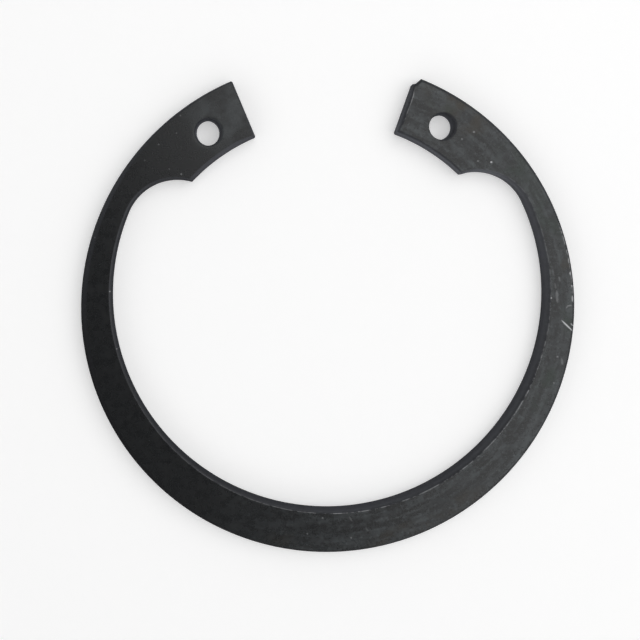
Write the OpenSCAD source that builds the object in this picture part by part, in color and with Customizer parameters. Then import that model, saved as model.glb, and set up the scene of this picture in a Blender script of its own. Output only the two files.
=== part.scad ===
// Internal retaining ring: a flat spring ring that is closed with pliers, passed down a bore
// and let go, so that its outer edge springs into a groove.
// The ring lies flat. +Z is square to it, +Y runs through the middle of the gap, and the
// origin is the centre of the outer circle on the back face.

/* [Ring] */
// Outer diameter of the free ring, before it is closed into a bore
free_d = 48.5; // [46:0.1:51]
// Thickness of the spring strip that the ring is stamped from
strip_t = 1.75; // [1.3:0.05:2.2]
// Radial width of the body opposite the gap, where the spring bends most
back_w = 4.3; // [3.6:0.05:4.9]
// How far the inner edge is off centre towards the gap, which tapers the body
taper_shift = 1.4; // [0.8:0.05:1.7]

/* [Lugs] */
// Radial width of the two lugs
lug_w = 5.65; // [5.1:0.05:6.6]
// Angle between the two end faces, seen from the centre
gap_angle = 42.4; // [30:0.2:56]
// Angle that the inner edge of each lug spans, from its end face to its inner tip
lug_span = 23.5; // [18:0.5:26]
// Radius of the hollow where each lug runs into the body
hollow_r = 5.2; // [3.9:0.1:6]

/* [Plier holes] */
// Diameter of the holes for the plier tips
hole_d = 2.5; // [1.9:0.1:3.2]
// Distance from the outer edge to the middle of each hole
hole_inset = 3.15; // [2.6:0.05:3.8]
// Distance from each end face to the middle of its hole
hole_back = 4.05; // [2.8:0.05:4.9]

/* [Stamped edges] */
// Radius of the rolled-over edge that the punch leaves round the front face
edge_roll = 0.3; // [0.1:0.05:0.5]
// Radius of the rolled-over edge round each plier hole
hole_roll = 0.12; // [0.05:0.01:0.25]

/* [Hidden] */
$fn = 180;
profile_fn = 48;

free_r = free_d / 2;
lug_r = free_r - lug_w;
body_r = free_r + taper_shift - back_w;
half_gap = gap_angle / 2;
hole_r = hole_d / 2;
over = 1;
reach = free_d;

// A point at radius r, turned by angle a from +Y towards +X
function turned(r, a) = [r * sin(a), r * cos(a)];

// The hollow touches the inner edge of the body from inside and ends at the lug's inner tip,
// so its centre is where two circles cross: one about the body's centre, one about the tip
body_c = [0, taper_shift];
tip = turned(lug_r, half_gap + lug_span);
body_to_tip = norm(tip - body_c);
along = (body_to_tip ^ 2 + (body_r - hollow_r) ^ 2 - hollow_r ^ 2) / (2 * body_to_tip);
across = sqrt(max(0, (body_r - hollow_r) ^ 2 - along ^ 2));
toward = (tip - body_c) / body_to_tip;
hollow_c = body_c + along * toward + across * [toward[1], -toward[0]];
// Angle from +Y at which the hollow meets the body, seen from the body's centre
meet_angle = atan2(hollow_c[0] - body_c[0], hollow_c[1] - body_c[1]);
// Angle by which the body's stretch stops short of there, which leaves a step of 0.01 mm
stop_short = 1;

// The hole's place is given from the outer edge and from the end face
hole_path_r = free_r - hole_inset;
hole_angle = half_gap + asin(hole_back / hole_path_r);

// Corner that is cut away beside a rolled edge, with the wall at x = 0 and the metal at x > 0
module roll_cut(r) {
    difference() {
        translate([-over, 0]) square([over + r, r + over]);
        translate([r, 0]) circle(r, $fn = profile_fn);
    }
}

// Round cutter of radius r whose mouth follows a rolled edge at the front face
module rolled_cutter(r, roll) {
    rotate_extrude() {
        translate([0, -over]) square([r, strip_t + 2 * over]);
        intersection() {
            translate([r, strip_t - roll]) roll_cut(roll);
            translate([0, -over]) square([r + roll, strip_t + 2 * over]);
        }
    }
}

// Round blank with its outer edge rolled over at the front
module blank() {
    rotate_extrude() difference() {
        square([free_r, strip_t]);
        translate([free_r, strip_t - edge_roll]) mirror([1, 0]) roll_cut(edge_roll);
    }
}

// The body's own stretch of the inner edge. It stops short of the lines on which the hollows
// touch it, because circles that only touch would leave faces without area there.
module body_cutter() {
    difference() {
        translate([0, taper_shift, 0]) rolled_cutter(body_r, edge_roll);
        for (side = [0, 1]) mirror([side, 0, 0])
            translate([0, taper_shift, -2 * over]) rotate([0, 0, -meet_angle - stop_short])
                translate([-reach, -over, 0]) cube([reach, reach, strip_t + 4 * over]);
    }
}

// Round hollow behind one lug
module hollow_cutter() {
    translate([hollow_c[0], hollow_c[1], 0]) rolled_cutter(hollow_r, edge_roll);
}

// Half of the gap, cut back to one end face with its top edge rolled over
module end_cutter() {
    side_w = free_r * tan(half_gap) + over;
    rotate([0, 0, -half_gap]) translate([0, free_r + over, 0]) rotate([90, 0, 0])
        linear_extrude(free_r + over) {
            translate([-side_w, -over]) square([side_w, strip_t + 2 * over]);
            translate([0, strip_t - edge_roll]) roll_cut(edge_roll);
        }
}

// The gap is cut first, because its rolled edges and the lugs' meet at a point where both lie
// level with the front face
module open_blank() {
    difference() {
        blank();
        for (side = [0, 1]) mirror([side, 0, 0]) end_cutter();
    }
}

// Plier hole through one lug
module hole_cutter() {
    translate([turned(hole_path_r, hole_angle)[0], turned(hole_path_r, hole_angle)[1], 0])
        rolled_cutter(hole_r, hole_roll);
}

module retaining_ring() {
    color("#3a3d40") difference() {
        open_blank();
        rolled_cutter(lug_r, edge_roll);
        body_cutter();
        for (side = [0, 1]) mirror([side, 0, 0]) {
            hollow_cutter();
            hole_cutter();
        }
    }
}

retaining_ring();
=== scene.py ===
import math

import bmesh
import bpy
import numpy as np
from mathutils import Matrix, Vector


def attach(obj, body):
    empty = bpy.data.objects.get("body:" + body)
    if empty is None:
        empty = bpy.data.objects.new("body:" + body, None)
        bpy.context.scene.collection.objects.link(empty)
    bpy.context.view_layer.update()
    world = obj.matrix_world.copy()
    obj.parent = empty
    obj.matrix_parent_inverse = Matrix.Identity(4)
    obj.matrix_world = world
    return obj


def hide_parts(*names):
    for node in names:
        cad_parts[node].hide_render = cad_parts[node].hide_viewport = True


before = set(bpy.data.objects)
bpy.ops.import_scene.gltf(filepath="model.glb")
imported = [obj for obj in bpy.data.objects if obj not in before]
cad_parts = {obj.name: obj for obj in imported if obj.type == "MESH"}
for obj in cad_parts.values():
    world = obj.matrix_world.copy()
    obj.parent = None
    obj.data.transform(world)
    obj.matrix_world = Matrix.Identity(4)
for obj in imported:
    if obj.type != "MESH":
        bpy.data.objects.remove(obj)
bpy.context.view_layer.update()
print("frame loaded")

mm = 0.001  # the scene is in metres, and every size below is in millimetres
weld = 1e-7  # points of one mesh that lie closer together than this, in metres, are merged

# Camera: above the upper left of the ring's middle, looking almost straight down
camera = {
    "position": (-4.26, 10.66, 95.93),
    "aim": (-0.949, -0.758, 0.0),
    "roll": 0.027,  # radians, from +Y towards +X
    "focal": 54.42,
    "sensor": 36.0,
    "nearest": 2.0,
    "farthest": 10000.0,
}


def placeCamera():
    data = bpy.data.cameras.new("camera")
    data.lens = camera["focal"]
    data.sensor_width = camera["sensor"]
    data.clip_start = camera["nearest"] * mm
    data.clip_end = camera["farthest"] * mm
    body = bpy.data.objects.new("camera", data)
    bpy.context.scene.collection.objects.link(body)
    position = Vector(camera["position"])
    back = (position - Vector(camera["aim"])).normalized()
    up = Vector((math.sin(camera["roll"]), math.cos(camera["roll"]), 0))
    right = up.cross(back).normalized()
    axes = Matrix((right, back.cross(right), back)).transposed()
    body.matrix_world = Matrix.Translation(position * mm) @ axes.to_4x4()
    bpy.context.scene.camera = body


placeCamera()
print("camera placed")

# Ring: angles are in degrees from +Y, through the middle of the gap, towards +X
ring = {
    "freeR": 24.25,
    "lugR": 18.6,
    "bodyR": 21.35,
    "taperShift": 1.4,
    "hollowR": 5.2,
    "halfGap": 21.2,
    "lugSpan": 23.5,
    "thick": 1.75,
    # roundings of the lug, the outer one on the left only
    "innerCorner": 0.2,
    "tip": 0.15,
    "outerCorner": 0.16,
    # the right lug's outer corner is torn off in a step, whose own corners are given from the
    # outer edge to the end face as (into the lug, down from the outer edge)
    "outerCut": ((0.6, 0.0), (0.26, 0.6), (0.04, 0.72)),
    "backBevel": 0.02,  # width of the tiny bevel of the sharp back edges
    "bevelShare": 0.014,  # and its height as a share of the wall's
    "flat": 0.25,  # level strip between an edge and the fill of the face
    "crisp": 0.05,  # first part of that strip, which keeps the end of the roll crisp
    "rollTurn": 62.0,  # how far the rolled edge bends before it meets the face at a crisp line
    "sharpTurn": 15.0,  # faces that meet at more than this are shaded as a crisp line
    "mattLoss": 0.4,  # share of the matt coat that is gone where the roll meets the face
    "paintedRollShade": (0.3, 3.0),  # share of its width from which the roll takes its own painted shade, and how fast
    "uneven": 0.05,  # how much the roll's width wanders, as a share
    "unevenWaves": (1.7, 3.1, 5.3, 11.0),  # and the lengths over which it does
    "seed": 7,
    "holeR": 1.25,
    "holePathR": 21.1,
    "holeBack": 4.05,
    "holeRoll": 0.16,
    "holeSwing": 0.12,  # how much wider the roll is on the right of each hole
    "holeTaper": 0.08,  # how much the wall closes in towards the back
    "holeLean": {1: 0.1, -1: 0.16},  # how much more it does so on the right of each hole, by side
    "paintedHoleShade": (0.07, 0.3),  # painted light and shade of the matt coat, at the front and at the back: lighter towards the back, where the hole's wall gets little light
    "holeBlend": (0.0, 0.0, 0.3, 0.7),  # share of matt coat from the face over the roll's first rows
    "holeMargin": 0.05,  # level strip round the widest roll
}

# The rolled edge, by share of each part of a half's outline, or by angle for the outer and inner
# edge of the body. A row holds the share or angle, the roll's width and height, how far its coat
# is worn off, and the painted shade of the matt coat on the wall and where the roll levels out:
# painted light and shade, set part by part for how the light falls on each stretch of edge. The
# punch stood off to one side: the roll is wide where the inner edge faces left and narrow where it
# faces right.
rolls = {
    1: {
        "outerBody": (
            (45, 0.22, 0.25, 0, 0.06, 0.06),
            (69, 0.2, 0.25, 0, 0.05, 0.05),
            (71, 0.2, 0.25, 0.8, 0.05, 0.05),
            (87, 0.2, 0.25, 0.8, 0.05, 0.05),
            (90, 0.2, 0.25, 0, 0.05, 0.05),
            (180, 0.2, 0.25, 0, 0.03, 0.04),
        ),
        "outer": (
            (0, 0.22, 0.25, 0, 0.06, 0.06),
            (1, 0.26, 0.25, 0, 0.06, 0.05),
        ),
        "corner": (
            (0, 0.26, 0.25, 0, 0.06, 0.05),
            (1, 0.26, 0.25, 0, 0.09, 0.05),
        ),
        "end": (
            (0, 0.26, 0.25, 0, 0.11, 0.06),
            (0.15, 0.43, 0.4, 1, 0.12, 0.06),
            (0.5, 0.43, 0.4, 0.5, 0.12, 0.06),
            (0.85, 0.43, 0.4, 0, 0.14, 0.07),
            (1, 0.33, 0.3, 0, 0.16, 0.08),
        ),
        "innerCorner": (
            (0, 0.33, 0.3, 0, 0.16, 0.08),
            (1, 0.33, 0.3, 0, 0.16, 0.08),
        ),
        "lug": (
            (0, 0.33, 0.3, 0, 0.17, 0.08),
            (0.5, 0.32, 0.3, 0.1, 0.175, 0.075),
            (1, 0.26, 0.3, 0, 0.18, 0.07),
        ),
        "tip": (
            (0, 0.26, 0.3, 0, 0.18, 0.08),
            (1, 0.26, 0.3, 0, 0.19, 0.13),
        ),
        "hollow": (
            (0, 0.24, 0.3, 0, 0.2, 0.15),
            (0.35, 0.22, 0.35, 0, 0.22, 0.19),
            (0.6, 0.28, 0.45, 0.2, 0.18, 0.14),
            (1, 0.44, 0.6, 0.2, 0.135, 0.1),
        ),
        "body": (
            (64, 0.44, 0.6, 0.2, 0.135, 0.1),
            (80, 0.5, 0.6, 0.3, 0.11, 0.09),
            (90, 0.51, 0.6, 0.3, 0.1, 0.085),
            (98, 0.51, 0.6, 0.3, 0.097, 0.078),
            (102, 0.51, 0.6, 0.8, 0.096, 0.074),
            (115, 0.52, 0.6, 0.9, 0.095, 0.072),
            (145, 0.38, 0.5, 0.65, 0.086, 0.064),
            (165, 0.3, 0.45, 0.75, 0.09, 0.07),
            (180, 0.24, 0.4, 1, 0.09, 0.08),
        ),
    },
    -1: {
        "outerBody": (
            (45, 0.3, 0.25, 0, 0.065, 0.065),
            (60, 0.45, 0.22, 0, 0.065, 0.07),
            (95, 0.6, 0.2, 0, 0.025, 0.03),
            (120, 0.42, 0.22, 0, 0.012, 0.016),
            (150, 0.28, 0.22, 0, 0.012, 0.02),
            (180, 0.2, 0.25, 0, 0.03, 0.04),
        ),
        "outer": (
            (0, 0.3, 0.25, 0, 0.065, 0.065),
            (0.5, 0.22, 0.25, 0, 0.065, 0.065),
            (1, 0.14, 0.2, 0, 0.065, 0.065),
        ),
        "corner": (
            (0, 0.14, 0.2, 0, 0.065, 0.065),
            (1, 0.14, 0.2, 0, 0.065, 0.065),
        ),
        "end": (
            (0, 0.14, 0.2, 0, 0.065, 0.065),
            (0.5, 0.12, 0.2, 0, 0.065, 0.065),
            (1, 0.16, 0.25, 0, 0.09, 0.09),
        ),
        "innerCorner": (
            (0, 0.16, 0.25, 0, 0.12, 0.11),
            (1, 0.16, 0.25, 0, 0.12, 0.11),
        ),
        "lug": (
            (0, 0.18, 0.25, 0, 0.13, 0.14),
            (0.2, 0.28, 0.3, 0, 0.13, 0.14),
            (0.8, 0.28, 0.3, 0, 0.12, 0.12),
            (1, 0.24, 0.3, 0, 0.1, 0.1),
        ),
        "tip": (
            (0, 0.24, 0.3, 0, 0.09, 0.09),
            (1, 0.24, 0.3, 0, 0.09, 0.09),
        ),
        "hollow": (
            (0, 0.26, 0.3, 0, 0.075, 0.075),
            (0.5, 0.2, 0.45, 0, 0.08, 0.085),
            (1, 0.12, 0.6, 0, 0.08, 0.085),
        ),
        "body": (
            (64, 0.12, 0.6, 0, 0.075, 0.085),
            (90, 0.11, 0.65, 0, 0.07, 0.075),
            (105, 0.1, 0.7, 0, 0.06, 0.055),
            (120, 0.1, 0.7, 0.15, 0.06, 0.075),
            (135, 0.12, 0.6, 0.25, 0.058, 0.07),
            (150, 0.13, 0.55, 0.45, 0.065, 0.08),
            (165, 0.17, 0.48, 0.5, 0.078, 0.075),
            (173, 0.2, 0.45, 0.7, 0.085, 0.075),
            (180, 0.24, 0.4, 1, 0.09, 0.08),
        ),
    },
}

# Numbers of stretches: along each part of a half's outline, across the faces, and up the profiles
# of the outline and of the holes
counts = {
    "outer": 40,
    "corner": 8,
    "end": 26,
    "lug": 32,
    "tip": 8,
    "hollow": 34,
    "body": 204,
    "across": 10,
    "aroundHole": 8,
    "wall": 9,
    "roll": 8,
    "holeWall": 8,
    "holeRoll": 6,
}


def spread(start, end, count, skipFirst=False, skipLast=False):
    # count even steps from start to end, without the first or last value where that is asked
    values = np.linspace(start, end, count + 1)
    return values[int(skipFirst): len(values) - int(skipLast)]


def turned(radius, angle):
    # a point at radius from the origin, turned by angle from +Y towards +X
    a = np.radians(angle)
    return np.stack(np.broadcast_arrays(radius * np.sin(a), radius * np.cos(a)), -1)


def angleOf(point):
    return math.degrees(math.atan2(point[0], point[1]))


def hollowCentre():
    # where a circle about the body's centre crosses a circle about the tip of the lug
    tip = turned(ring["lugR"], ring["halfGap"] + ring["lugSpan"])
    reach = np.linalg.norm(tip - bodyC)
    fromBody = ring["bodyR"] - ring["hollowR"]
    along = (reach**2 + fromBody**2 - ring["hollowR"] ** 2) / (2 * reach)
    aside = math.sqrt(fromBody**2 - along**2)
    toward = (tip - bodyC) / reach
    return bodyC + along * toward + aside * np.array([toward[1], -toward[0]])


def holeCentre():
    angle = ring["halfGap"] + math.degrees(math.asin(ring["holeBack"] / ring["holePathR"]))
    return turned(ring["holePathR"], angle)


bodyC = np.array([0, ring["taperShift"]])
hollowC = hollowCentre()
holeC = holeCentre()
meetAngle = angleOf(hollowC - bodyC)
endAlong = turned(1.0, ring["halfGap"])
endInto = turned(1.0, ring["halfGap"] + 90)


def besideEnd(along, into):
    # a point given by its distance along the end face's line and into the lug from it
    return along * endAlong + into * endInto


def crossing(a, runA, b, runB):
    # where the line through a along runA crosses the line through b along runB
    return a + runA * np.linalg.solve(np.stack([runA, -runB], 1), b - a)[0]


def roundedCorner(depth):
    # The left lug's outer corner, moved into the metal by depth: a rounding that shrinks to its
    # corner
    radius = max(ring["outerCorner"], depth)
    centre = besideEnd(math.sqrt((ring["freeR"] - radius) ** 2 - radius**2), radius)
    angles = spread(angleOf(centre), ring["halfGap"] - 90, counts["corner"])
    return centre + turned(max(ring["outerCorner"] - depth, 0.0), angles)


def tornCorner(depth):
    # The right lug's outer corner, moved into the metal by depth. Each line of its step moves
    # inwards, and one that has shrunk to nothing drops out. Points are (along the end face's
    # line, into the lug) until the end.
    outer = ring["freeR"]
    knots = np.array([(math.sqrt(outer**2 - into**2) - down, into) for into, down in ring["outerCut"]])
    runs = [second - first for first, second in zip(knots, knots[1:])] + [np.array([-1.0, 0.0])]
    runs = [run / np.linalg.norm(run) for run in runs]
    starts = [knot + depth * np.array([-abs(run[1]), abs(run[0])]) for knot, run in zip(knots, runs)]
    starts[2] = np.array([0.0, depth])  # the last line is the end face itself
    # where the first line leaves the outer edge, which has moved inwards too
    back = starts[0] @ runs[0]
    half = math.sqrt(back**2 - starts[0] @ starts[0] + (outer - depth) ** 2)
    onArc = starts[0] + runs[0] * min(-back - half, -back + half, key=abs)
    notch = crossing(starts[0], runs[0], starts[1], runs[1])
    lip = crossing(starts[1], runs[1], starts[2], runs[2])
    if notch[1] < lip[1]:
        lip = crossing(starts[0], runs[0], starts[2], runs[2])
        notch = (onArc + lip) / 2
    share = spread(0, 1, counts["corner"] // 2)[:, None]
    points = np.concatenate([onArc * (1 - share) + notch * share, (notch * (1 - share) + lip * share)[1:]])
    return points[:, :1] * endAlong + points[:, 1:] * endInto


def innerCentres(inner, tip):
    # centres of the roundings at the lug's inner corner and tip, of the radii given: as far from
    # both edges that meet there as the rounding's radius
    innerC = besideEnd(math.sqrt((ring["lugR"] + inner) ** 2 - inner**2), inner)
    a, b = ring["lugR"] + tip, ring["hollowR"] + tip
    away = np.linalg.norm(hollowC)
    along = (away**2 + a**2 - b**2) / (2 * away)
    toward = hollowC / away
    tipC = along * toward + math.sqrt(a**2 - along**2) * np.array([-toward[1], toward[0]])
    return innerC, tipC


def stationAngles():
    # polar angle of each point of the hollow and the body, which the outer edge's points share
    tipC = innerCentres(ring["innerCorner"], ring["tip"])[1]
    hollow = hollowC + turned(ring["hollowR"], spread(angleOf(tipC - hollowC), meetAngle, counts["hollow"]))
    body = bodyC + turned(ring["bodyR"], spread(meetAngle, 180, counts["body"], True))
    points = np.concatenate([hollow, body])
    return np.degrees(np.arctan2(points[:, 0], points[:, 1]))


def outlineParts():
    # which points of a half's outline belong to each of its parts
    sizes = {
        "outerBody": counts["hollow"] + counts["body"] + 1,
        "outer": counts["outer"] - 1,
        "corner": counts["corner"] + 1,
        "end": counts["end"] - 1,
        "innerCorner": counts["corner"] + 1,
        "lug": counts["lug"] - 1,
        "tip": counts["tip"] + 1,
        "hollow": counts["hollow"],
        "body": counts["body"],
    }
    found, start = {}, 0
    for name, size in sizes.items():
        found[name] = slice(start, start + size)
        start += size
    return found


parts = outlineParts()
pointCount = parts["body"].stop


def halfOutline(depth, side):
    # Right half of the outline, moved into the metal by depth at each of its points: the outer
    # arc from the back of the ring to the lug, the end face, the lug's inner arc, the hollow and
    # the body's inner arc. An edge moved inwards is an arc or line of the same centre, and a
    # rounding shrinks until only its corner is left.
    atCorner, atInner, atTip = (float(depth[parts[name]][0]) for name in ("corner", "innerCorner", "tip"))
    innerC, tipC = innerCentres(max(ring["innerCorner"], atInner), max(ring["tip"], atTip))
    corner = roundedCorner(atCorner) if side < 0 else tornCorner(atCorner)
    stations = stationAngles()
    points = np.zeros((pointCount, 2))

    def put(name, values):
        points[parts[name]] = values

    put("outerBody", turned(ring["freeR"] - depth[parts["outerBody"]], stations[::-1]))
    angles = spread(stations[0], angleOf(corner[0]), counts["outer"], True, True)
    put("outer", turned(ring["freeR"] - depth[parts["outer"]], angles))
    put("corner", corner)
    along = spread(np.dot(corner[-1], endAlong), np.dot(innerC, endAlong), counts["end"], True, True)
    put("end", along[:, None] * endAlong + depth[parts["end"]][:, None] * endInto)
    angles = spread(ring["halfGap"] - 90, angleOf(innerC) - 180, counts["corner"])
    put("innerCorner", innerC + turned(max(ring["innerCorner"] - atInner, 0.0), angles))
    angles = spread(angleOf(innerC), angleOf(tipC), counts["lug"], True, True)
    put("lug", turned(ring["lugR"] + depth[parts["lug"]], angles))
    angles = spread(angleOf(tipC) - 180, angleOf(hollowC - tipC) - 360, counts["tip"])
    put("tip", tipC + turned(max(ring["tip"] - atTip, 0.0), angles))
    angles = spread(angleOf(tipC - hollowC), meetAngle, counts["hollow"], True)
    put("hollow", hollowC + turned(ring["hollowR"] + depth[parts["hollow"]], angles))
    angles = spread(meetAngle, 180, counts["body"], True)
    put("body", bodyC + turned(ring["bodyR"] + depth[parts["body"]], angles))
    return points


def waves(t, seed, lengths):
    # a smooth random curve over t: a sum of sines whose wavelengths are given
    random = np.random.default_rng(seed)
    total = np.zeros(len(t))
    for length in lengths:
        total += np.sin(2 * math.pi * (t / length + random.random())) / len(lengths)
    return total


def rollValues(side):
    # the columns of the roll's rows, at each point of a half, with the width a little uneven
    flat = halfOutline(np.zeros(pointCount), side)
    place = np.degrees(np.arctan2(flat[:, 0], flat[:, 1]))
    values = np.zeros((5, pointCount))
    for name, knots in rolls[side].items():
        part = parts[name]
        at = place[part] if name in ("outerBody", "body") else np.linspace(0, 1, part.stop - part.start)
        where, *columns = zip(*knots)
        values[:, part] = [np.interp(at, where, column) for column in columns]
    length = np.cumsum(np.linalg.norm(np.diff(flat, axis=0, prepend=flat[:1]), axis=1))
    toBack = np.minimum(length, length[-1] - length)  # the halves are alike where they meet
    wander = waves(length, ring["seed"] + side, ring["unevenWaves"])
    uneven = ring["uneven"] * np.clip(toBack, 0, 1) * wander
    for name in ("corner", "innerCorner", "tip"):
        uneven[parts[name]] = 0
    values[0] *= 1 + uneven
    return values


def rimRows():
    # Profile of the edge as rows of (share of the roll's width, depth, share of the wall's
    # height, share of the roll's height, wear, matt coat): from the back face, up the wall and
    # over the roll, an arc that stops short of level, to the front face
    end = math.radians(ring["rollTurn"])
    rows = [(0, ring["flat"], 0, 0, 0, 0), (0, ring["backBevel"], 0, 0, 0, 0)]
    rows += [(0, 0, up, 0, 0, 1) for up in spread(ring["bevelShare"], 1, counts["wall"])]
    for t in spread(0, end, counts["roll"], True):
        share = (1 - math.cos(t)) / (1 - math.cos(end))
        isLast = t == end  # the coat wears off along the crisp line
        matt = 1 - ring["mattLoss"] * share
        rows.append((share, 0, 1, math.sin(t) / math.sin(end), isLast, matt))
    rows += [(1, ring["crisp"], 1, 1, 0, 0), (1, ring["flat"], 1, 1, 0, 0)]
    return np.array(rows, float)


class Patches:
    # collects grids of points for one mesh, with the attributes named
    def __init__(self, *attributes):
        self.points, self.quads, self.count = [], [], 0
        self.values = {name: [] for name in attributes}

    def add(self, grid, closed=False, **values):
        # grid holds points by row and column; closed joins the last row to the first; an
        # attribute that isn't given is zero
        rows, columns = grid.shape[:2]
        index = self.count + np.arange(rows * columns).reshape(rows, columns)
        if closed:
            index = np.concatenate([index, index[:1]])
        quads = np.stack([index[:-1, :-1], index[1:, :-1], index[1:, 1:], index[:-1, 1:]], -1)
        self.quads.append(quads.reshape(-1, 4))
        self.points.append(grid.reshape(-1, 3))
        for name, store in self.values.items():
            store.append(np.broadcast_to(values.get(name, 0.0), (rows, columns)).ravel())
        self.count += rows * columns

    def makePiece(self, name, solid):
        # one object of all the grids, with the points that they share merged; the faces of a
        # solid one are turned outwards
        mesh = bpy.data.meshes.new(name)
        points = np.concatenate(self.points) * mm
        mesh.from_pydata(points.tolist(), [], np.concatenate(self.quads).tolist())
        for attribute, values in self.values.items():
            layer = mesh.attributes.new(attribute, "FLOAT", "POINT")
            layer.data.foreach_set("value", np.concatenate(values).astype(np.float32))
        work = bmesh.new()
        work.from_mesh(mesh)
        bmesh.ops.remove_doubles(work, verts=work.verts, dist=weld)
        if solid:
            bmesh.ops.recalc_face_normals(work, faces=work.faces)
        work.to_mesh(mesh)
        openEdges = sum(not edge.is_manifold for edge in work.edges)
        work.free()
        mesh.shade_smooth()
        piece = bpy.data.objects.new(name, mesh)
        bpy.context.scene.collection.objects.link(piece)
        print(name, "built:", len(mesh.polygons), "faces,", openEdges, "open edges")
        return piece


def atHeight(points, z):
    return np.concatenate([points, np.broadcast_to(z, points.shape[:-1])[..., None]], -1)


def mirrored(points, side):
    return points * np.array([side, 1, 1])


def holeReach():
    # radius at which the face begins, just outside the widest roll of the hole
    return ring["holeR"] + ring["holeRoll"] + ring["holeSwing"] + ring["holeMargin"]


def addFace(patches, side, half, z, rays=None):
    # One face of a half: a strip of straight ribs from the inner edge to the outer edge along
    # the body, and round the hole lines from its rim to the edge of the lug. The directions in
    # which they leave the rim are returned, so that the other face and the hole can share them.
    inner = half[parts["tip"].stop - 1:]
    outer = half[parts["outerBody"]][::-1]
    share = spread(0, 1, counts["across"])[None, :, None]
    strip = inner[:, None] * (1 - share) + outer[:, None] * share
    patches.add(mirrored(atHeight(strip, z), side))
    edge = np.concatenate([half[parts["outerBody"].stop - 1: parts["tip"].stop], strip[0][1:-1]])
    if rays is None:
        away = edge - holeC
        rays = away / np.linalg.norm(away, axis=1, keepdims=True)
    rim = holeC + rays * holeReach()
    share = spread(0, 1, counts["aroundHole"])[None, :, None]
    lines = rim[:, None] * (1 - share) + edge[:, None] * share
    patches.add(mirrored(atHeight(lines, z), side), closed=True)
    return rays


def addHole(patches, side, rays):
    # The hole: a small rolled edge, a wall that closes in towards the back and a tiny bevel,
    # turned about its own middle. A profile's points are (distance from the middle, height).
    thick, radius, bevel = ring["thick"], ring["holeR"], ring["backBevel"]
    toRight = side * rays[:, :1]
    roll = ring["holeRoll"] + ring["holeSwing"] * toRight
    close = ring["holeTaper"] + ring["holeLean"][side] * np.maximum(toRight, 0)
    reach = np.full_like(roll, holeReach())
    zero = np.zeros_like(roll)
    t = np.radians(spread(0, 90, counts["holeRoll"]))[None, :]
    ups = spread(1, 0, counts["holeWall"], True, True)[None, :]
    out = [reach, radius + roll * (1 - np.sin(t)), radius - close * (1 - ups)]
    out = np.concatenate(out + [radius - close, radius - close + bevel, reach], 1)
    up = [zero + thick, thick - roll * (1 - np.cos(t)), (thick - roll) * ups]
    up = np.concatenate(up + [zero + bevel, zero, zero], 1)
    matt = np.ones(out.shape[1])
    matt[:len(ring["holeBlend"])] = ring["holeBlend"]
    matt[-2:] = 0
    flat = holeC + rays[:, None] * out[:, :, None]
    # painted light: the wall's matt coat is lighter towards the back of the hole, where it is in shade
    shade = np.interp(up, (0, thick), ring["paintedHoleShade"][::-1])
    patches.add(mirrored(atHeight(flat, up), side), closed=True, cutWall=matt[None], wallShade=shade)


def addHalf(patches, side, rows):
    # Adds the faces and the hole of one half, and returns what its rim needs: the points of its
    # profiles, and their wear and painted shade
    wide, high, worn, wallShade, paintedRollShade = rollValues(side)
    rim = np.stack([
        atHeight(
            halfOutline(row[0] * wide + row[1], side),
            row[2] * (ring["thick"] - high) + row[3] * high,
        ) for row in rows
    ], 1)
    rays = addFace(patches, side, rim[:, -1, :2], ring["thick"])
    addFace(patches, side, rim[:, 0, :2], 0.0, rays)
    addHole(patches, side, rays)
    start, rate = ring["paintedRollShade"]  # the roll takes its own painted shade as it levels out
    late = np.clip(rate * (rows[:, 0] - start), 0, 1)
    shade = wallShade[:, None] + (paintedRollShade - wallShade)[:, None] * late
    return mirrored(rim, side), worn, shade


def makeRing():
    # Two halves, whose rims join into one loop: the right one forwards, the left one backwards
    patches = Patches("edgeWear", "cutWall", "wallShade")
    rows = rimRows()
    halves = zip(addHalf(patches, 1, rows), addHalf(patches, -1, rows))
    rim, worn, shade = [np.concatenate([right, left[-2:0:-1]]) for right, left in halves]
    wear = worn[:, None] * rows[None, :, 4]
    patches.add(rim, closed=True, edgeWear=wear, cutWall=rows[None, :, 5], wallShade=shade)
    piece = patches.makePiece("retaining_ring_steel", True)
    piece.data.set_sharp_from_angle(angle=math.radians(ring["sharpTurn"]))
    return piece


steelRing = makeRing()


def linearOf(hexText):
    # an sRGB hex colour as linear red, green, blue and alpha
    shares = [int(hexText[i:i + 2], 16) / 255 for i in (1, 3, 5)]
    return [s / 12.92 if s <= 0.04045 else ((s + 0.055) / 1.055) ** 2.4 for s in shares] + [1.0]


def addNode(tree, kind, settings=None, links=None):
    # Adds a node. Settings are input values or properties of the node, and links come from a
    # socket or from the first output of another node.
    node = tree.nodes.new(kind)
    for key, value in (settings or {}).items():
        if isinstance(key, int) or key in node.inputs:
            node.inputs[key].default_value = value
        else:
            setattr(node, key, value)
    for key, source in (links or {}).items():
        socket = source.outputs[0] if isinstance(source, bpy.types.Node) else source
        tree.links.new(node.inputs[key], socket)
    return node


def newMaterial(name):
    material = bpy.data.materials.new(name)
    material.use_nodes = True
    material.node_tree.nodes.clear()
    return material, material.node_tree
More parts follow.
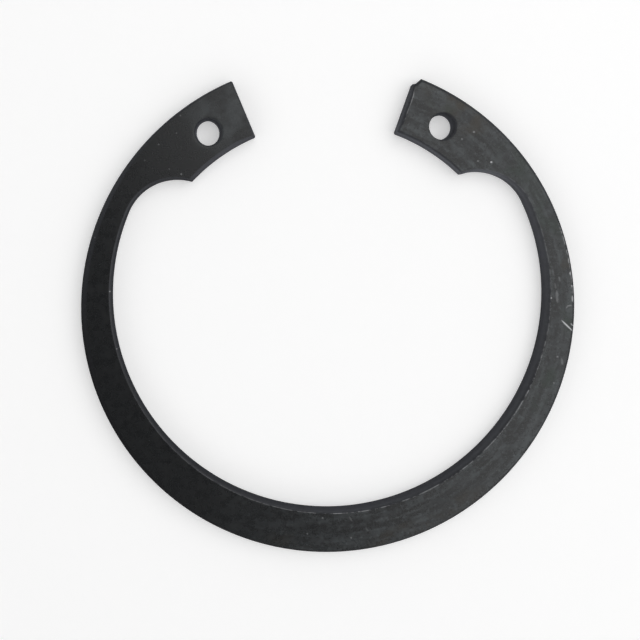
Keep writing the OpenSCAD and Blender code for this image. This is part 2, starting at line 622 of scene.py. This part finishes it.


# Spring steel, black phosphated and oiled after stamping: a thin black layer with a satin sheen.
# On the right it is rubbed and dusty, with streaks along the ring and brown and green stains, and
# along some edges it is worn through to grey metal. The dust is real, and it also paints the right
# of the face lighter, as painted light. The sheared wall is torn and matt.
steel = {
    "coat": "#121416",
    "dust": "#43484a",
    "brown": "#2c261b",
    "green": "#1c2a22",
    "wall": "#e0e3ee",  # the tint of the matt coat, whose painted light and shade is an attribute
    "bare": "#a5a6a8",
    "coatRoughness": (0.23, 0.33),
    "wallRoughness": 0.8,
    "bareRoughness": 0.35,
    "mottleSize": 0.9,  # mm, as are the sizes below
    "mottleFrom": (0.3, 0.7),  # values of the mottle between which the coat gets rougher
    "stainSize": 2.2,
    "stainFrom": (0.4, 0.6),
    "wearFrom": (0.42, 0.56),  # values of the mottle between which a worn edge shows bare metal
    "speckSize": 0.3,
    "streakSize": (4.0, 0.6),  # along and across the ring
    "streakR": 22.0,  # radius at which that length along the ring holds
    # layers of dust: from which value of its noise to which it grows, and its share there
    "streakDust": (0.46, 0.62, 0.5),
    "mottleDust": (0.48, 0.64, 0.4),
    "speckDust": (0.56, 0.72, 0.6),
    "edgeDust": (22.2, ring["freeR"], 0.25),  # the same by radius, towards the outer edge
    "dustAndLightFrom": (-13.0, 7.0),  # the coat is clean on the left of the first X and dusty from the second; the dust is real, and the lighter right side that it gives is also painted light
    "grainSize": 0.12,  # the crystals are finer, and are drawn this coarse so that they show
    "grainHeight": 0.02,
    "grainStrength": 0.25,
    "stainFade": 0.5,  # share of a stain's and of a mark's size over which it fades out
    "markFade": 0.3,
    "patchDepth": 0.5,  # how far below the front face they reach
}

# Stains on the front face, and a patch of painted light in the colour of dust on the left lug:
# (colour, middle X, Y, half length, half width, turn in degrees, share)
stains = (
    ("brown", 12.8, 19.6, 4.6, 2.2, -40, 0.8),
    ("brown", 23.5, 3.4, 1.6, 0.8, -80, 1.0),
    ("brown", 7.5, -22.6, 5.0, 1.5, 18, 0.9),
    ("brown", 13.0, -19.6, 3.2, 1.3, 34, 0.7),
    ("brown", -4.0, -22.9, 4.0, 1.0, -9, 0.25),
    ("green", 18.6, 13.6, 3.6, 2.2, -55, 0.6),
    ("green", 21.6, 8.6, 3.4, 1.3, -68, 0.6),
    ("green", 23.6, -1.0, 2.2, 0.9, -88, 0.7),
    ("green", 21.2, -8.2, 3.0, 1.1, 68, 0.8),
    ("green", 11.2, 19.9, 1.8, 0.8, -25, 0.8),
    # painted light: the left lug's face made lighter, in the colour of dust
    ("dust", -9.3, 19.6, 4.6, 4.6, -28, 0.5),
    ("coat", 13.5, -18.6, 6.0, 3.0, 36, 0.4),
)

# Scratches, rubbed spots and specks on the front face: (middle X, Y, half length, half width,
# turn in degrees, share of bare metal)
marks = (
    (23.46, -1.87, 0.88, 0.085, -45, 1.0),
    (23.98, -1.82, 0.24, 0.08, -44, 0.6),
    (22.46, 1.05, 0.7, 0.16, -87, 0.16),
    (22.3, 2.1, 0.35, 0.12, -80, 0.1),
    (21.88, 0.92, 0.11, 0.1, 0, 0.6),
    (23.47, 0.0, 0.2, 0.09, 56, 0.2),
    (23.71, 0.11, 0.26, 0.09, 6, 0.25),
    (22.52, -4.97, 0.12, 0.1, 0, 0.3),
    (22.98, -5.47, 0.4, 0.14, -80, 0.18),
    (22.16, -7.61, 0.1, 0.1, 0, 0.25),
    (22.7, 2.77, 0.3, 0.08, -76, 0.18),
    (22.1, 3.38, 0.4, 0.08, -80, 0.08),
    (23.62, 4.56, 0.34, 0.09, 98, 0.5),
    (23.76, 3.3, 0.16, 0.09, 96, 0.7),
    (23.94, 2.05, 0.13, 0.09, 94, 0.6),
    (24.0, 0.8, 0.34, 0.1, 92, 0.65),
    (16.01, 14.32, 0.12, 0.11, 0, 0.9),
    (14.34, 17.24, 0.13, 0.12, 0, 0.3),
    (13.17, 16.6, 0.1, 0.1, 0, 0.25),
    (14.71, 14.46, 0.11, 0.1, 0, 0.25),
    (-2.86, -22.17, 0.1, 0.1, 0, 0.35),
    (1.54, -22.77, 0.1, 0.1, 0, 0.5),
    (-1.29, -20.6, 0.12, 0.1, 30, 0.4),
    (1.54, -20.81, 0.34, 0.1, -60, 0.15),
    (3.16, -21.97, 0.28, 0.1, -59, 0.15),
    (-22.48, 8.12, 0.09, 0.09, 0, 0.2),
    (-21.3, 2.86, 0.12, 0.1, 0, 0.6),
    (-21.12, -0.46, 0.12, 0.1, 0, 0.6),
    (-20.92, -2.78, 0.12, 0.1, 0, 0.4),
    (-13.93, 13.95, 0.11, 0.1, 0, 0.4),
    (-15.96, 16.8, 0.1, 0.09, 0, 0.2),
    (-13.77, 19.46, 0.1, 0.09, 0, 0.2),
    (-17.35, 15.33, 0.1, 0.09, 0, 0.15),
    (-15.05, 14.45, 0.1, 0.09, 0, 0.15),
    (-14.22, 17.82, 0.1, 0.09, 0, 0.15),
)


def softPatch(tree, spot, at, fade, share):
    # a soft ellipse on the front face: share in its middle, and fading out towards its edge
    x, y, halfLength, halfWidth, turn = at
    inPatch = addNode(tree, "ShaderNodeMapping", {
        "vector_type": "TEXTURE",
        "Location": (x, y, ring["thick"]),
        "Rotation": (0, 0, math.radians(turn)),
        "Scale": (halfLength, halfWidth, steel["patchDepth"]),
    }, {"Vector": spot})
    ball = addNode(tree, "ShaderNodeTexGradient", {"gradient_type": "SPHERICAL"}, {"Vector": inPatch})
    return addNode(tree, "ShaderNodeMapRange", {2: fade, 4: share}, {0: ball.outputs["Fac"]})


def dustAndLightShare(tree, spot, mottle):
    # Share of dust over the ring: streaks along it, blotches, specks and more at the outer edge,
    # added up, and none on the left. The dust is real, and where it lightens the right of the face it
    # is also painted light.
    xyz = addNode(tree, "ShaderNodeSeparateXYZ", None, {0: spot})
    # place along and across the ring in streaks, with the seam of the angle in the gap
    flat = addNode(tree, "ShaderNodeCombineXYZ", None, {"X": xyz.outputs["X"], "Y": xyz.outputs["Y"]})
    radius = addNode(tree, "ShaderNodeVectorMath", {"operation": "LENGTH"}, {0: flat}).outputs["Value"]
    behind = addNode(tree, "ShaderNodeMath", {"operation": "MULTIPLY", 1: -1.0}, {0: xyz.outputs["Y"]})
    angle = addNode(tree, "ShaderNodeMath", {"operation": "ARCTAN2"}, {0: xyz.outputs["X"], 1: behind})
    streakLength, streakWidth = steel["streakSize"]
    turns = steel["streakR"] / streakLength
    along = addNode(tree, "ShaderNodeMath", {"operation": "MULTIPLY", 1: turns}, {0: angle})
    across = addNode(tree, "ShaderNodeMath", {"operation": "DIVIDE", 1: streakWidth}, {0: radius})
    alongRing = addNode(tree, "ShaderNodeCombineXYZ", None, {"X": along, "Y": across})
    streakNoise = {"Scale": 1.0, "Detail": 4, "Roughness": 0.6}
    streaks = addNode(tree, "ShaderNodeTexNoise", streakNoise, {"Vector": alongRing})
    speckNoise = {"Scale": 1 / steel["speckSize"], "Detail": 2}
    specks = addNode(tree, "ShaderNodeTexNoise", speckNoise, {"Vector": spot})
    total = None
    layers = (("streakDust", streaks), ("mottleDust", mottle), ("speckDust", specks), ("edgeDust", radius))
    for name, source in layers:
        low, high, share = steel[name]
        layer = addNode(tree, "ShaderNodeMapRange", {1: low, 2: high, 4: share}, {0: source})
        if total:
            layer = addNode(tree, "ShaderNodeMath", {"operation": "ADD"}, {0: total, 1: layer})
        total = layer
    clean, dusty = steel["dustAndLightFrom"]
    side = addNode(tree, "ShaderNodeMapRange", {1: clean, 2: dusty}, {0: xyz.outputs["X"]})
    return addNode(tree, "ShaderNodeMath", {"operation": "MULTIPLY"}, {0: total, 1: side})


def coatColour(tree, spot, mottle):
    # the black coat, with dust over it, partly painted light, and the stains over both
    ends = {"data_type": "RGBA", 6: linearOf(steel["coat"]), 7: linearOf(steel["dust"])}
    colour = addNode(tree, "ShaderNodeMix", ends, {0: dustAndLightShare(tree, spot, mottle)})
    stainNoise = {"Scale": 1 / steel["stainSize"], "Detail": 4, "Roughness": 0.6}
    blotch = addNode(tree, "ShaderNodeTexNoise", stainNoise, {"Vector": spot})
    low, high = steel["stainFrom"]
    blotch = addNode(tree, "ShaderNodeMapRange", {1: low, 2: high}, {0: blotch})
    for kind, *at, share in stains:
        soft = softPatch(tree, spot, at, steel["stainFade"], share)
        soft = addNode(tree, "ShaderNodeMath", {"operation": "MULTIPLY"}, {0: soft, 1: blotch})
        stained = {"data_type": "RGBA", 7: linearOf(steel[kind])}
        colour = addNode(tree, "ShaderNodeMix", stained, {0: soft, 6: colour.outputs[2]})
    return colour.outputs[2]


def bareShare(tree, spot, mottle):
    # Share of bare metal: where the edge is worn, broken up by the mottle, and in the scratches,
    # rubbed spots and specks
    worn = addNode(tree, "ShaderNodeAttribute", {"attribute_name": "edgeWear"}).outputs["Fac"]
    low, high = steel["wearFrom"]
    broken = addNode(tree, "ShaderNodeMapRange", {1: low, 2: high}, {0: mottle})
    worn = addNode(tree, "ShaderNodeMath", {"operation": "MULTIPLY"}, {0: worn, 1: broken})
    for *at, share in marks:
        mark = softPatch(tree, spot, at, steel["markFade"], share)
        worn = addNode(tree, "ShaderNodeMath", {"operation": "MAXIMUM"}, {0: worn, 1: mark})
    return worn


def phosphatedSteel():
    material, tree = newMaterial("spring_steel_black_phosphated")
    place = addNode(tree, "ShaderNodeTexCoord").outputs["Object"]
    spot = addNode(tree, "ShaderNodeMapping", {"Scale": (1 / mm, 1 / mm, 1 / mm)}, {"Vector": place})
    mottleNoise = {"Scale": 1 / steel["mottleSize"], "Detail": 3, "Roughness": 0.65}
    mottle = addNode(tree, "ShaderNodeTexNoise", mottleNoise, {"Vector": spot})
    grainNoise = {"Scale": 1 / steel["grainSize"], "Detail": 2}
    grain = addNode(tree, "ShaderNodeTexNoise", grainNoise, {"Vector": spot})
    relief = {"Strength": steel["grainStrength"], "Distance": steel["grainHeight"] * mm}
    normal = addNode(tree, "ShaderNodeBump", relief, {"Height": grain})

    (low, high), (smooth, rough) = steel["mottleFrom"], steel["coatRoughness"]
    roughness = addNode(tree, "ShaderNodeMapRange", {1: low, 2: high, 3: smooth, 4: rough}, {0: mottle})
    coatLinks = {"Base Color": coatColour(tree, spot, mottle), "Roughness": roughness, "Normal": normal}
    coat = addNode(tree, "ShaderNodeBsdfPrincipled", None, coatLinks)

    # painted light and shade of the matt coat on the walls and rolls, set part by part
    shade = addNode(tree, "ShaderNodeAttribute", {"attribute_name": "wallShade"}).outputs["Fac"]
    shades = {"data_type": "RGBA", 6: (0, 0, 0, 1), 7: linearOf(steel["wall"])}
    paintedWallColour = addNode(tree, "ShaderNodeMix", shades, {0: shade}).outputs[2]
    mattFinish = {"Roughness": steel["wallRoughness"], "Specular IOR Level": 0.0}
    wallLinks = {"Base Color": paintedWallColour, "Normal": normal}
    wall = addNode(tree, "ShaderNodeBsdfPrincipled", mattFinish, wallLinks)

    bareFinish = {
        "Base Color": linearOf(steel["bare"]),
        "Metallic": 1.0,
        "Roughness": steel["bareRoughness"],
    }
    bare = addNode(tree, "ShaderNodeBsdfPrincipled", bareFinish, {"Normal": normal})

    torn = addNode(tree, "ShaderNodeAttribute", {"attribute_name": "cutWall"}).outputs["Fac"]
    outside = addNode(tree, "ShaderNodeMixShader", None, {0: torn, 1: coat, 2: wall})
    worn = bareShare(tree, spot, mottle)
    surface = addNode(tree, "ShaderNodeMixShader", None, {0: worn, 1: outside, 2: bare})
    addNode(tree, "ShaderNodeOutputMaterial", None, {"Surface": surface})
    return material


steelRing.data.materials.append(phosphatedSteel())
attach(steelRing, "root")
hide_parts("retaining_ring")
print("steel made")

# Studio: a white sheet that curves up all round, one broad lamp above that reaches from just left
# of the top down to the upper right, and a sky that is dark at the top and bright low down, most
# of all at the front and left. In millimetres, degrees and shares of white.
studio = {
    "sheetFlat": 450.0,
    "sheetCurve": 300.0,
    "sheetBelow": 0.01,  # the sheet lies this far below the ring
    "sheetSteps": (9, 12, 96),  # along the flat, up the curve and all round
    "sheetColour": "#ececec",
    "sheetGlow": 0.35,
    "lampTurn": 26.6,  # from +X towards +Y
    "lampLean": 29.0,  # from straight above
    "lampReach": 34.0,  # half of the angle that it fills, seen from the ring
    "lampDistance": 450.0,
    "lampLight": 1.24,
    "skyTop": 0.03,
    "skyLow": 0.9,
    "skyLean": (-0.5, -0.55, 0.0),  # how much brighter it is towards each axis
}


def whiteSheet():
    # the sheet is a profile turned about the Z axis: flat, then a quarter circle up to a wall
    flat, curve = studio["sheetFlat"], studio["sheetCurve"]
    flatSteps, curveSteps, turnSteps = studio["sheetSteps"]
    t = np.radians(spread(0, 90, curveSteps))
    across = np.concatenate([spread(0, flat, flatSteps, skipLast=True), flat + curve * np.sin(t)])
    up = np.concatenate([np.zeros(flatSteps), curve * (1 - np.cos(t))]) - studio["sheetBelow"]
    turn = np.radians(spread(0, 360, turnSteps, skipLast=True))
    grid = np.stack([
        across[None, :] * np.sin(turn)[:, None],
        across[None, :] * np.cos(turn)[:, None],
        np.broadcast_to(up, (turnSteps, len(up))),
    ], -1)
    patches = Patches()
    patches.add(grid, closed=True)
    piece = patches.makePiece("sheet", False)
    piece.data.flip_normals()  # upwards and inwards
    return piece


def whitePaper():
    # matt white paper; what the camera, gloss and glass see of it is lifted towards white
    material, tree = newMaterial("matt_white_paper")
    rays = addNode(tree, "ShaderNodeLightPath").outputs
    pairs = {0: rays["Is Camera Ray"], 1: rays["Is Glossy Ray"]}
    seen = addNode(tree, "ShaderNodeMath", {"operation": "MAXIMUM"}, pairs)
    pairs = {0: seen, 1: rays["Is Transmission Ray"]}
    seen = addNode(tree, "ShaderNodeMath", {"operation": "MAXIMUM"}, pairs)
    lift = {"operation": "MULTIPLY", 1: studio["sheetGlow"]}
    strength = addNode(tree, "ShaderNodeMath", lift, {0: seen})
    glow = addNode(tree, "ShaderNodeEmission", None, {"Strength": strength})
    paper = addNode(tree, "ShaderNodeBsdfDiffuse", {"Color": linearOf(studio["sheetColour"])})
    both = addNode(tree, "ShaderNodeAddShader", None, {0: paper, 1: glow})
    addNode(tree, "ShaderNodeOutputMaterial", None, {"Surface": both})
    return material


def addLamp():
    turn, lean = math.radians(studio["lampTurn"]), math.radians(studio["lampLean"])
    toward = Vector((math.sin(lean) * math.cos(turn), math.sin(lean) * math.sin(turn), math.cos(lean)))
    data = bpy.data.lights.new("softbox", "AREA")
    data.shape = "SQUARE"
    data.size = 2 * studio["lampDistance"] * math.tan(math.radians(studio["lampReach"])) * mm
    data.energy = studio["lampLight"] * math.pi * data.size**2
    lamp = bpy.data.objects.new("softbox", data)
    bpy.context.scene.collection.objects.link(lamp)
    lamp.location = toward * studio["lampDistance"] * mm
    lamp.rotation_euler = toward.to_track_quat("Z", "Y").to_euler()


def makeSky():
    # strength from the direction: top + (low - top) * (1 - height squared), times one plus the
    # direction's share along skyLean
    sky = bpy.data.worlds.new("sky")
    bpy.context.scene.world = sky
    sky.use_nodes = True
    tree = sky.node_tree
    tree.nodes.clear()
    way = addNode(tree, "ShaderNodeTexCoord").outputs["Generated"]
    height = addNode(tree, "ShaderNodeSeparateXYZ", None, {0: way}).outputs["Z"]
    square = addNode(tree, "ShaderNodeMath", {"operation": "MULTIPLY"}, {0: height, 1: height})
    ends = {1: 1.0, 2: 0.0, 3: studio["skyTop"], 4: studio["skyLow"]}
    strength = addNode(tree, "ShaderNodeMapRange", ends, {0: square})
    leaning = {"operation": "DOT_PRODUCT", 1: studio["skyLean"]}
    lean = addNode(tree, "ShaderNodeVectorMath", leaning, {0: way}).outputs["Value"]
    more = addNode(tree, "ShaderNodeMath", {"operation": "ADD", 1: 1.0}, {0: lean})
    strength = addNode(tree, "ShaderNodeMath", {"operation": "MULTIPLY"}, {0: strength, 1: more})
    glow = addNode(tree, "ShaderNodeBackground", None, {"Strength": strength})
    addNode(tree, "ShaderNodeOutputWorld", None, {"Surface": glow})


sheet = whiteSheet()
sheet.data.materials.append(whitePaper())
addLamp()
makeSky()
bpy.context.scene.view_settings.view_transform = "Standard"
print("studio lit")
